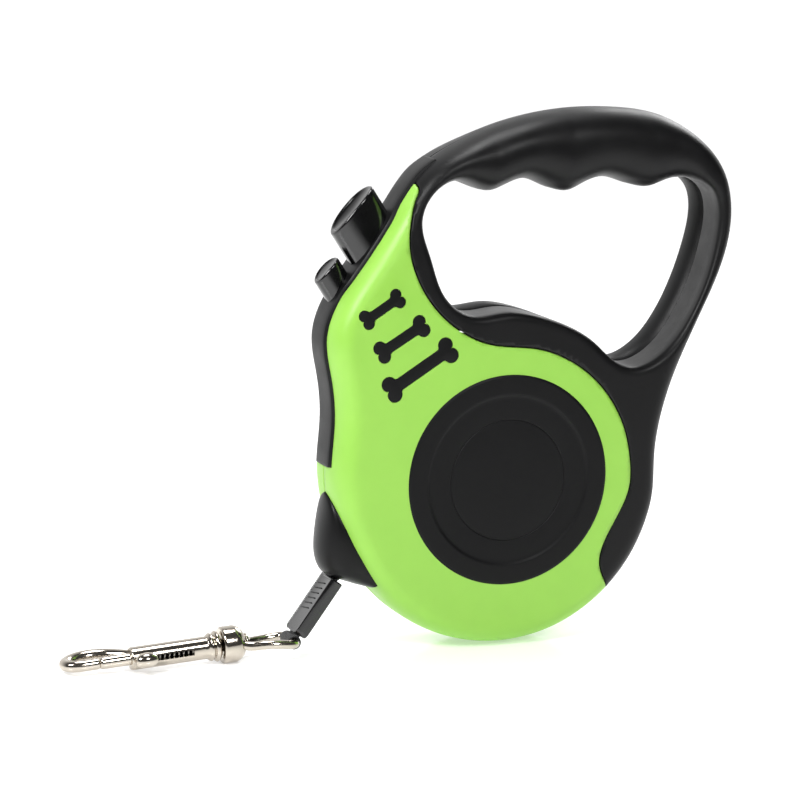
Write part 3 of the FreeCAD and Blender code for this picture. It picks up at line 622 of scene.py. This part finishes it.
def edge_band(rubber):
    """Raised black band on the front edge, a little wider round the buttons and sinking away above them.

    Rows follow the outer outline; columns go across in Y on the same surface as the housing, lifted
    a little in the middle and sunk at the borders.
    """
    loop = outer_loop
    into = inward(loop)
    z, x = loop[:, 1], loop[:, 0]
    pick = (x < -20) & (z > 5.7) & (z < 100)
    first = int(np.argmax(z * pick))
    rows = []
    order = [i for i in range(first, first + len(loop)) if pick[i % len(loop)]]
    insets = np.concatenate([[0], np.cumsum(np.linspace(0.004, 0.5, 40))])
    for i in order:
        i %= len(loop)
        half = 5.5 + 0.9 * float(ease(z[i], 58, 64)) - 1.2 * float(ease(z[i], 80, 86))
        lift = 0.12 - 0.5 * float(ease(z[i], 93.5, 99.5))
        half *= float(np.clip((z[i] - 5.5) / 0.5, 0.3, 1)) ** 0.5
        ring = loop[i] + into[i] * insets[:, None]
        height = depth_at(ring)
        slope = np.gradient(height, insets)
        out = np.stack([-into[i][0] * slope, np.ones(len(insets)), -into[i][1] * slope], axis=1)
        out /= np.linalg.norm(out, axis=1)[:, None]
        targets = half * np.sin(np.radians(np.linspace(0, 90, 15)))
        inset_at = np.interp(targets, height, insets)
        line = []
        for y, inset in zip(targets, inset_at):
            spot = loop[i] + into[i] * inset
            k = min(int(np.searchsorted(insets, inset)), len(insets) - 1)
            rise = lift if y < half - 0.5 else (lift - 0.9 * (y - half + 0.5) / 0.5)
            normal = out[k]
            line.append((spot[0] + normal[0] * rise, y + normal[1] * rise, spot[1] + normal[2] * rise))
        line = np.array(line)
        rows.append(np.vstack([line[::-1], (line * np.array([1, -1, 1]))[1:]]))
    grid = np.array(rows)
    r, c = grid.shape[:2]
    i, j = np.meshgrid(np.arange(r - 1), np.arange(c - 1), indexing="ij")
    quads = np.stack([i * c + j, i * c + j + 1, (i + 1) * c + j + 1, (i + 1) * c + j], axis=-1)
    band = piece("edge_band", (grid.reshape(-1, 3), quads.reshape(-1, 4).tolist()), rubber, "housing",
                 "black_grip")
    thicken(band, BAND_WALL)
    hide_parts("edge_strip_front", "edge_strip_back")


def side_disc(sign, material):
    """Turned cap: flat rim ring, a soft step at radius 26.3 and a fine ring line at radius 18.7."""
    y = HALF_DEPTH
    profile = [(y - SEAT_DEPTH, 32.9), (y - 0.02, 32.75), (y + 0.22, 32.3), (y + 0.38, 31.9),
               (y + 0.38, 27.0), (y + 0.3, 26.5), (y - 0.1, 25.9), (y - 0.16, 25.0), (y - 0.16, 19.0),
               (y - 0.34, 18.85), (y - 0.34, 18.6), (y - 0.16, 18.45), (y - 0.14, 8.0), (y - 0.14, 0.02)]
    fine = rounded(profile, 0.3, 4)
    obj = piece("cap_" + ("back" if sign > 0 else "front"),
                lathe(fine, np.zeros(3), ACROSS * sign, SIDE, 160), material, "housing", "black_disc", 50)
    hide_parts("side_disc_" + ("back" if sign > 0 else "front"))


def make_bones(material):
    """Inlays that follow the housing's surface, with a softly rounded top edge."""
    for name, numbers in BONES.items():
        loop = bone_loop(*numbers)
        for side, sign in (("front", -1), ("back", 1)):
            def place(x, z, rise):
                level = depth_at(np.stack([x, z], axis=1)) + rise
                return np.stack([x, sign * level, z], axis=1)
            data = slab(loop, place, (-0.9, -0.02, 0.06, 0.09), (0, 0, 0.08, 0.2))
            obj = piece("inlay_" + name + "_" + side, data, material, "housing", "black_disc")
            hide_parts("bone_inlay_" + side + "_" + name)


# ---- nozzle ----
NOZZLE_CREST = ((182.4, 54.9), (188.6, 56.7), (196.4, 59.9), (201.8, 61.8), (206.1, 61.7), (210.2, 58.7),
                (215.0, 54.9), (216.6, 53.6))
NOZZLE_WIDTH = ((182.4, 0.3), (183.6, 3.0), (185.5, 5.4), (189.0, 7.8), (192.0, 8.9), (196.0, 9.7),
                (200.0, 10.1), (206.0, 10.4), (216.6, 9.9))


def make_nozzle(material):
    """Bulging hood across the front lower edge.

    Each section stands on the housing's rim at one angle about the reel axis. Its half width and the
    radius of its crest come from two smooth tables; between them y = w sin t and the radius falls from
    the crest to the rim's surface as cos t to the power 0.85.
    """
    crest, width = spline(NOZZLE_CREST, 160, False), spline(NOZZLE_WIDTH, 160, False)
    angles = np.concatenate([np.linspace(182.4, 186, 26), np.linspace(186, 216.6, 90)[1:]])
    t = np.radians(np.linspace(-90, 90, 49))
    rings = []
    for angle in angles:
        way = np.array([math.cos(math.radians(angle)), math.sin(math.radians(angle))])
        top = np.interp(angle, crest[:, 0], crest[:, 1])
        half = np.interp(angle, width[:, 0], width[:, 1])
        reach = np.linspace(56.5, 45.0, 231)
        line = reach[:, None] * way
        depth = np.where(inside(line, outer_loop), depth_at(line), 0)
        foot = np.interp(half, depth, reach) - 0.12
        radius = foot + (top - foot) * np.cos(t).clip(0) ** 0.85
        back = np.full(9, foot - 2.2)
        r = np.concatenate([radius, back])
        y = np.concatenate([half * np.sin(t), np.linspace(half, -half, 9)])
        rings.append(np.stack([r * way[0], y, r * way[1]], axis=1))
    obj = piece("nozzle_hood", loft(np.array(rings)), material, "housing", "black_disc", 60)
    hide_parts("tape_nozzle")


# ---- buttons ----
def oval_button(name, foot, low, high, width, depth, slant, crown, dish, material, body):
    """Oval thumb button along OUT. Its top is a slanted oval with a raised rim and a hollow middle.

    Rings: straight sides, a small round over the rim, then rings that shrink to the middle and sink
    by dish times one minus the squared share of the radius.
    """
    a = np.linspace(0, 2 * np.pi, 96, endpoint=False)
    power = 2 / 2.35
    c, s = np.cos(a), np.sin(a)
    wide = np.sign(c) * np.abs(c) ** power * width / 2
    deep = np.sign(s) * np.abs(s) ** power * depth / 2

    def top_ring(share):
        w = wide * share
        top = high + slant * w - crown * (w / (width / 2)) ** 2
        return foot + w[:, None] * SIDE + (deep * share)[:, None] * ACROSS + top[:, None] * OUT

    edge = 0.55
    base = foot + wide[:, None] * SIDE + deep[:, None] * ACROSS + low * OUT
    top_edge = top_ring(1.0) - edge * OUT
    rows = [base] + [base + (top_edge - base) * t for t in (0.02, 0.5, 0.98)]
    for t in np.radians([0, 22, 45, 68, 90]):
        share = 1 - (1 - math.cos(t)) * edge / (depth / 2)
        rows.append(top_ring(share) - (edge - edge * math.sin(t)) * OUT)
    inner = 1 - edge / (depth / 2)
    for share in (inner - 0.05, inner - 0.09, inner - 0.14, 0.62, 0.5, 0.38, 0.26, 0.14, 0.04):
        fall = dish * (1 - (share / (inner - 0.03)) ** 2) + 0.35 * min(1, (inner - share) / 0.12)
        rows.append(top_ring(share) - fall * OUT)
    return piece(name, loft(np.array(rows)), material, body, "gloss_button", 60)


def make_buttons(gloss):
    """Large brake button and, below it on the edge, the small lock button."""
    brake = oval_button("brake_thumb_button", SIDE * 5.5, 77.0, 96.0, 18.2, 10.4, 0.287, 0.7, 1.3, gloss,
                        "brake")
    lock = oval_button("lock_thumb_button", SIDE * -10.8, 71.5, 85.0, 9.8, 7.6, 0.26, 0.5, 0.4, gloss,
                       "lock")
    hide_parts("brake_button")
    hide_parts("lock_button")


# ---- stopper, tape ----
def make_stopper(gloss, dull):
    """Flat block with rounded lower corners, a raised frame on its outer face and six slanting slots."""
    normal = np.array([-0.8, 0.0, 0.6])
    half_w, half_t, length = 4.8, 2.1, 20.2
    start = BLOCK_TOP + EXIT * 0.3

    def corner(u, v, radius, first):
        a = np.radians(np.linspace(first, first + 90, 9))
        return [(u + radius * math.cos(k), v + radius * math.sin(k)) for k in a]

    low, high = 1.7, 0.5
    loop = np.array(corner(half_w - low, length - low, low, 0) + corner(low - half_w, length - low, low, 90)
                    + corner(high - half_w, high, high, 180) + corner(half_w - high, high, high, 270))

    def place(u, v, height):
        return start + u[:, None] * ACROSS + v[:, None] * EXIT + height * normal

    edge = half_t - 0.35
    data = slab(loop, place, (-half_t, -half_t + 0.1, -edge, edge, half_t - 0.1, half_t, half_t,
                              half_t - 0.05, half_t - 0.14, half_t - 0.16),
                (0.35, 0.1, 0, 0, 0.1, 0.35, 0.55, 0.65, 0.72, 0.9))
    block = piece("stopper_block", data, gloss, "stopper", "gloss_button", 35)
    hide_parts("tape_stopper")
    bars = []
    for k in range(6):
        middle = start + EXIT * (3.0 + 1.8 * k) + normal * (half_t - 0.15) + ACROSS * 0.4
        path = np.linspace(middle - ACROSS * 2.3 - EXIT * 0.4, middle + ACROSS * 2.3 + EXIT * 0.4, 8)
        bars.append(tube(path, 0.22, 12))
    piece("stopper_slots", join(*bars), dull, "stopper", "gloss_button")


def ribbon(path, across, half_width, half_thick):
    """Flat tape along a path: a rounded rectangle section carried along it."""
    tangent = np.gradient(path, axis=0)
    tangent /= np.linalg.norm(tangent, axis=1)[:, None]
    up = np.cross(tangent, across)
    a = np.linspace(0, 2 * np.pi, 32, endpoint=False)
    wide = np.sign(np.cos(a)) * np.abs(np.cos(a)) ** 0.25 * half_width
    thick = np.sign(np.sin(a)) * np.abs(np.sin(a)) ** 0.5 * half_thick
    rings = path[:, None] + wide[None, :, None] * across + thick[None, :, None] * up[:, None]
    return loft(rings)


def tape_uv(obj):
    """UV map in metres: u across the tape in Y, v along it by the other two coordinates."""
    layer = obj.data.uv_layers.new(name="weave")
    coords = np.empty(len(obj.data.vertices) * 3)
    obj.data.vertices.foreach_get("co", coords)
    coords = coords.reshape(-1, 3)
    index = np.empty(len(obj.data.loops), int)
    obj.data.loops.foreach_get("vertex_index", index)
    v = coords[:, 0] * 0.6 + coords[:, 2] * 0.8
    layer.data.foreach_set("uv", np.stack([coords[index, 1], v[index]], axis=1).ravel())


def make_tape(weave):
    """The pulled tape from the mouth to the loop, and the sewn loop round the eye's bar."""
    inner = BLOCK_TOP - EXIT * 4.0
    low = BLOCK_TOP + EXIT * 0.8
    last = EYE_BAR - EXIT * 1.5
    line = np.vstack([np.linspace(inner, low, 8), np.linspace(low, last, 90)[1:]])
    lead = piece("tape_lead_ribbon", ribbon(line, ACROSS, 3.95, 0.38), weave, None, "tape")
    tape_uv(lead)
    start, end = (low * MM + REEL_AXIS), (last * MM + REEL_AXIS)
    tuple(start)
    tuple(end)
    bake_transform(lead)
    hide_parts("tape_lead")
    a = np.radians(np.linspace(-28, 332, 73))
    back = -EXIT
    cross = np.array([0.8, 0.0, -0.6])
    radius = 1.85
    turn = EYE_BAR + radius * (np.cos(a)[:, None] * back + np.sin(a)[:, None] * cross)
    loop = piece("tape_end_loop", ribbon(turn, ACROSS, 4.0, 0.3), weave, "tape_end", "tape")
    tape_uv(loop)
    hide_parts("tape_loop")


# ---- bolt snap ----
def hook_point(u, v, w=0.0):
    """Point of the hook's own frame: u along it, v away from its knob side, w up."""
    return COLLAR + u * ALONG + v * ACROSS + w * ABOVE


def make_eye(nickel):
    """Wire eye that narrows to a domed swivel collar; its two arms are twisted a little about the hook."""
    x, z = EYE_BAR[0], EYE_BAR[2]
    half = [(x, 0, z), (x, -2.6, z), (x - 0.1, -4.4, z), (x - 1.1, -5.8, z), (x - 3.4, -6.5, z),
            (x - 6.6, -6.5, z), (x - 10.6, -5.6, z - 0.05), (x - 14.0, -4.2, z - 0.1),
            (COLLAR[0] + 3.6, -3.2, COLLAR[2])]
    left = spline(half, 70, False)
    path = np.vstack([left[::-1], (left * np.array([1, -1, 1]))[1:]])
    along = (path[:, 0] - x) / (COLLAR[0] - x)
    path[:, 2] -= 0.13 * path[:, 1] * np.sin(np.pi * along.clip(0, 1))
    eye = tube(path, 1.4, 28)
    profile = rounded([(-5.2, 0.4), (-5.2, 2.6), (-4.4, 4.2), (-3.2, 5.2), (-2.0, 5.7), (1.9, 5.7),
                       (2.4, 5.3), (2.4, 3.2), (1.6, 2.6), (1.6, 0.4)], 0.45, 5)
    collar = lathe(profile, COLLAR, ALONG, ACROSS, 72)
    obj = piece("swivel_eye_wire", join(eye, collar), nickel, "eye", "nickel", 50)
    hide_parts("swivel_eye")


def slotted_barrel():
    """Barrel with an open slot on its knob side: a wrapped grid without the cells over the slot.

    The wall is the outer grid, the inner grid and the slot's edges between them.
    """
    u = np.concatenate([np.linspace(BARREL_START, SLOT_START - 0.3, 8),
                        np.linspace(SLOT_START, SLOT_END, 30),
                        np.linspace(SLOT_END + 0.3, BARREL_END, 4)])
    half_slot = 0.26          # radians
    a = np.concatenate([np.linspace(half_slot, 2 * np.pi - half_slot, 60), [2 * np.pi]])
    rows = len(u)
    cols = len(a)
    verts = []
    for r in (BARREL_R, BORE_R):
        for x in u:
            verts += [hook_point(x, -r * math.cos(t), r * math.sin(t)) for t in a]
    faces = []
    layer = rows * cols

    def over_slot(i, j):
        return SLOT_START - 0.1 < (u[i] + u[i + 1]) / 2 < SLOT_END + 0.1 and j in (cols - 2, cols - 1)

    def quad(base, i, j, flip):
        n = (j + 1) % cols
        near, far = base + i * cols, base + (i + 1) * cols
        face = [near + j, far + j, far + n, near + n]
        return face[::-1] if flip else face

    for i in range(rows - 1):
        for j in range(cols):
            if not over_slot(i, j):
                faces.append(quad(0, i, j, False))
                faces.append(quad(layer, i, j, True))
    counts = {}
    for face in faces:
        for p, q in zip(face, face[1:] + face[:1]):
            counts[(p, q)] = counts.get((p, q), 0) + 1
    for p, q in list(counts):
        if p < layer and q < layer and (q, p) not in counts:
            faces.append([q, p, p + layer, q + layer])
    return np.array(verts), faces


def make_hook(nickel):
    """Swivel pin, two beads, slotted barrel and the fixed jaw."""
    profile = rounded([(-6.4, 0.3), (-6.4, 2.2), (-5.9, 2.7), (-5.3, 2.7), (-5.3, 2.0), (2.8, 2.0),
                       (2.9, 3.6), (3.2, 4.4), (3.9, 4.8), (4.6, 4.4), (4.9, 3.8), (5.2, 4.1), (5.8, 4.4),
                       (6.4, 4.0), (6.9, 3.5), (7.6, 3.5), (8.2, 3.5), (8.2, 0.3)], 0.3, 4)
    pin = lathe(profile, COLLAR, ALONG, ACROSS, 72)
    barrel = slotted_barrel()
    cap = lathe(rounded([(30.4, 2.3), (30.4, 3.5), (30.9, 3.3), (31.0, 2.3)], 0.2, 3), COLLAR, ALONG,
                ACROSS, 64)
    jaw_path = spline([hook_point(*p) for p in (
        (28.0, 2.4), (30.2, 3.9), (33.4, 6.2), (37.4, 8.3), (41.5, 9.1), (45.2, 8.5), (48.3, 6.6),
        (50.0, 3.8), (49.0, 1.3), (46.4, 0.2), (43.6, 0.0), (40.9, 0.0))], 120, False)
    t = np.linspace(0, 1, 120)
    width = 1.75 + 0.35 * np.sin(np.pi * np.clip(t / 0.8, 0, 1)) ** 2
    jaw = tube(jaw_path, width, 32)
    obj = piece("snap_hook_body", join(pin, barrel, cap, jaw), nickel, "hook", "nickel", 50)
    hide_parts("hook_body")


def make_bolt(nickel, wire):
    """Sliding bolt, thumb bead on its neck, and the spring seen through the slot."""
    profile = rounded([(24.6, 0.2), (24.6, 2.3), (29.4, 2.3), (29.6, 1.9), (39.8, 1.9), (40.5, 1.3),
                       (40.6, 0.2)], 0.3, 4)
    bolt = piece("snap_bolt", lathe(profile, COLLAR, ALONG, ACROSS, 48), nickel, "bolt", "nickel", 50)
    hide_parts("hook_bolt")
    t = np.linspace(0, np.pi, 30)
    bead_profile = np.stack([-3.5 * np.cos(t), np.maximum(2.3 * np.sin(t) ** 0.8, 0.02)], axis=1)
    bead = lathe(bead_profile, hook_point(27.2, -5.8, 0.5), ALONG, ACROSS, 48)
    neck = lathe([(0, 0.9), (0.3, 0.75), (2.6, 0.75), (3.4, 1.2)], hook_point(27.2, -1.2), -ACROSS, ABOVE, 24)
    knob = piece("thumb_bead", join(bead, neck), nickel, "bolt", "nickel", 50)
    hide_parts("bolt_knob")
    turn = 2 * math.pi * SPRING_TURNS
    length = SPRING_END - SPRING_START
    path = np.array([hook_point(SPRING_START + length * k, SPRING_R * math.cos(turn * k),
                                SPRING_R * math.sin(turn * k)) for k in np.linspace(0, 1, 460)])
    spring = piece("snap_spring", tube(path, SPRING_WIRE_R, 10), wire, None, "spring_steel", 60)
    low, high = (hook_point(u, 0) * MM + REEL_AXIS for u in (SPRING_START, SPRING_END))
    tuple(low)
    tuple(high)
    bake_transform(spring)
    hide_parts("bolt_spring")


# ---- carried-over parts ----
def dress_frame_nodes(finishes):
    """Procedural materials on the CAD parts that stay in view or inside the housing."""
    for node, material in finishes.items():
        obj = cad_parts[node]
        obj.data.materials.clear()
        obj.data.materials.append(material)


# ---- setting ----
ROOF_SHADE = 0.55         # how much darker the room grows towards its roof
FRONT_GLOW = 0.07         # how bright the room is on the viewer's side
DARK_FROM, PALE_FROM = -0.60, -0.30          # m in Y, where the floor turns from dark to pale
VIEW_WIDTH = 244.65 * MM  # what the frame takes in at the housing
# name, place from above the reel in m, width in m, power in W
LAMPS = (("key", (-0.60, -0.30, 0.50), 0.3, 5.0), ("top", (0.0, 0.15, 0.9), 0.4, 4.6),
         ("rear rim", (0.55, 0.50, 0.45), 0.4, 2.6), ("front fill", (0.10, -1.00, 0.65), 0.3, 5.0))


def make_stage():
    """Pale floor that runs far back and turns dark towards the viewer, in a studio bright behind.

    The dark part of the floor is painted shade: a near black sheet that the plating mirrors as its dark
    bands, together with the dark front of the room. The pale part has a painted glow. Its emission makes it
    read white and throws light up on the leash, as a lit white table would.
    """
    floor_mesh = bpy.data.meshes.new("floor")
    far = 12.0
    floor_mesh.from_pydata([(-far, -far, 0), (far, -far, 0), (far, far, 0), (-far, far, 0)], [],
                           [(0, 1, 2, 3)])
    floor = bpy.data.objects.new("floor", floor_mesh)
    bpy.context.scene.collection.objects.link(floor)
    # The white emission colour is the floor's painted glow; it is no lamp.
    material, tree, shader = base_material("pale studio floor", Roughness=0.14, Specular_IOR_Level=0.35,
                                           Emission_Color=linear("#FFFFFF"))
    place = add(tree, "ShaderNodeSeparateXYZ", {"Vector": add(tree, "ShaderNodeTexCoord").outputs["Object"]})
    fall = add(tree, "ShaderNodeMapRange", {"Value": place.outputs["Y"]}, From_Min=DARK_FROM,
               From_Max=PALE_FROM)
    # Base colour: painted shade, near black towards the viewer where the plating mirrors it, and pale behind.
    tint = add(tree, "ShaderNodeMixRGB", {"Fac": fall.outputs[0]}, Color1=linear("#2A2A2A"),
               Color2=linear("#F6F6F6"))
    # Painted glow: the emission strength is none on the dark part and 0.34 on the pale part, so the floor
    # lights the leash from below.
    painted_glow = add(tree, "ShaderNodeMapRange", {"Value": place.outputs["Y"]}, From_Min=DARK_FROM,
                From_Max=PALE_FROM, To_Min=0.0, To_Max=0.34)
    tree.links.new(tint.outputs[0], shader.inputs["Base Color"])
    tree.links.new(painted_glow.outputs[0], shader.inputs["Emission Strength"])
    floor_mesh.materials.append(material)
    world = bpy.data.worlds.new("studio")
    bpy.context.scene.world = world
    world.use_nodes = True
    tree = world.node_tree
    background = tree.nodes["Background"]
    way = add(tree, "ShaderNodeSeparateXYZ", {"Vector": add(tree, "ShaderNodeTexCoord").outputs["Generated"]})
    sink = add(tree, "ShaderNodeMath", {0: way.outputs["Z"]}, operation="MULTIPLY")
    sink.inputs[1].default_value = ROOF_SHADE
    level = add(tree, "ShaderNodeMath", {0: way.outputs["Y"], 1: sink.outputs[0]}, operation="SUBTRACT")
    glow = add(tree, "ShaderNodeMapRange", {"Value": level.outputs[0]}, From_Min=-0.25, From_Max=0.55,
               To_Min=FRONT_GLOW, To_Max=1.1)
    background.inputs["Color"].default_value = linear("#FFFFFF")
    tree.links.new(glow.outputs[0], background.inputs["Strength"])
    centre = REEL_AXIS + np.array([0, 0, 0.03])
    for name, place, size, power in LAMPS:
        lamp = bpy.data.lights.new(name, "AREA")
        lamp.shape = "DISK"
        lamp.size = size
        lamp.energy = power
        obj = bpy.data.objects.new(name, lamp)
        obj.location = Vector(centre + np.array(place))
        obj.rotation_euler = (Vector(centre) - obj.location).to_track_quat("-Z", "Y").to_euler()
        bpy.context.scene.collection.objects.link(obj)


def make_camera():
    """Long lens from the hook side and a little above, about one metre away."""
    azimuth, elevation, reach = math.radians(-21), math.radians(10.5), 1.0
    back = np.array([math.sin(azimuth) * math.cos(elevation), -math.cos(azimuth) * math.cos(elevation),
                     math.sin(elevation)])
    right = np.array([math.cos(azimuth), math.sin(azimuth), 0.0])
    up = np.cross(back, right)
    face = REEL_AXIS - ACROSS * HALF_DEPTH * MM
    aim = face - right * 33.1 * MM + up * 24.5 * MM
    data = bpy.data.cameras.new("view")
    data.sensor_width = 36.0
    data.lens = data.sensor_width * reach / VIEW_WIDTH
    data.clip_start, data.clip_end = 0.01, 60.0
    camera = bpy.data.objects.new("view", data)
    camera.location = Vector(aim + back * reach)
    camera.rotation_euler = Vector(-back).to_track_quat("-Z", "Y").to_euler()
    bpy.context.scene.collection.objects.link(camera)
    bpy.context.scene.camera = camera


def set_look():
    """Plain display transform, so the white studio stays white and the black parts stay black."""
    scene = bpy.context.scene
    scene.view_settings.view_transform = "Standard"
    scene.view_settings.look = "None"
    scene.view_settings.exposure = 0.0


def main():
    """Materials, setting and every piece of the leash."""
    set_look()
    green, rubber, disc, hood, gloss = green_abs(), black_rubber(), black_abs(), hood_abs(), gloss_abs()
    nickel, wire, weave = nickel_plate(), spring_wire(), woven_tape()
    make_camera()
    make_stage()
    make_housing(green, rubber)
    edge_band(rubber)
    side_disc(-1, disc)
    side_disc(1, disc)
    make_bones(disc)
    make_nozzle(hood)
    make_buttons(gloss)
    make_stopper(gloss, rubber)
    make_tape(weave)
    make_eye(nickel)
    make_hook(nickel)
    make_bolt(nickel, wire)
    inner = grained("natural moulded acetal", "#D9D6CC", "#E4E1D8", 0.4, 0.01, 0.4, 0.04, IOR=1.48)
    zinc = grained("zinc plated steel", "#A9ABAE", "#BFC1C4", 0.6, 0.01, 0.3, 0.05, Metallic=1.0)
    dress_frame_nodes({
        "reel_drum": inner, "reel_cover": inner, "brake_pawl": inner, "washer_front": inner,
        "washer_back": inner, "reel_cover_screws": zinc, "housing_screws": zinc, "spring_arbor": zinc,
        "guide_pin": zinc, "pawl_pin": zinc, "power_spring": wire, "brake_spring": wire,
        "lock_spring": wire, "tape_roll": disc, "tape_run": disc})


main()
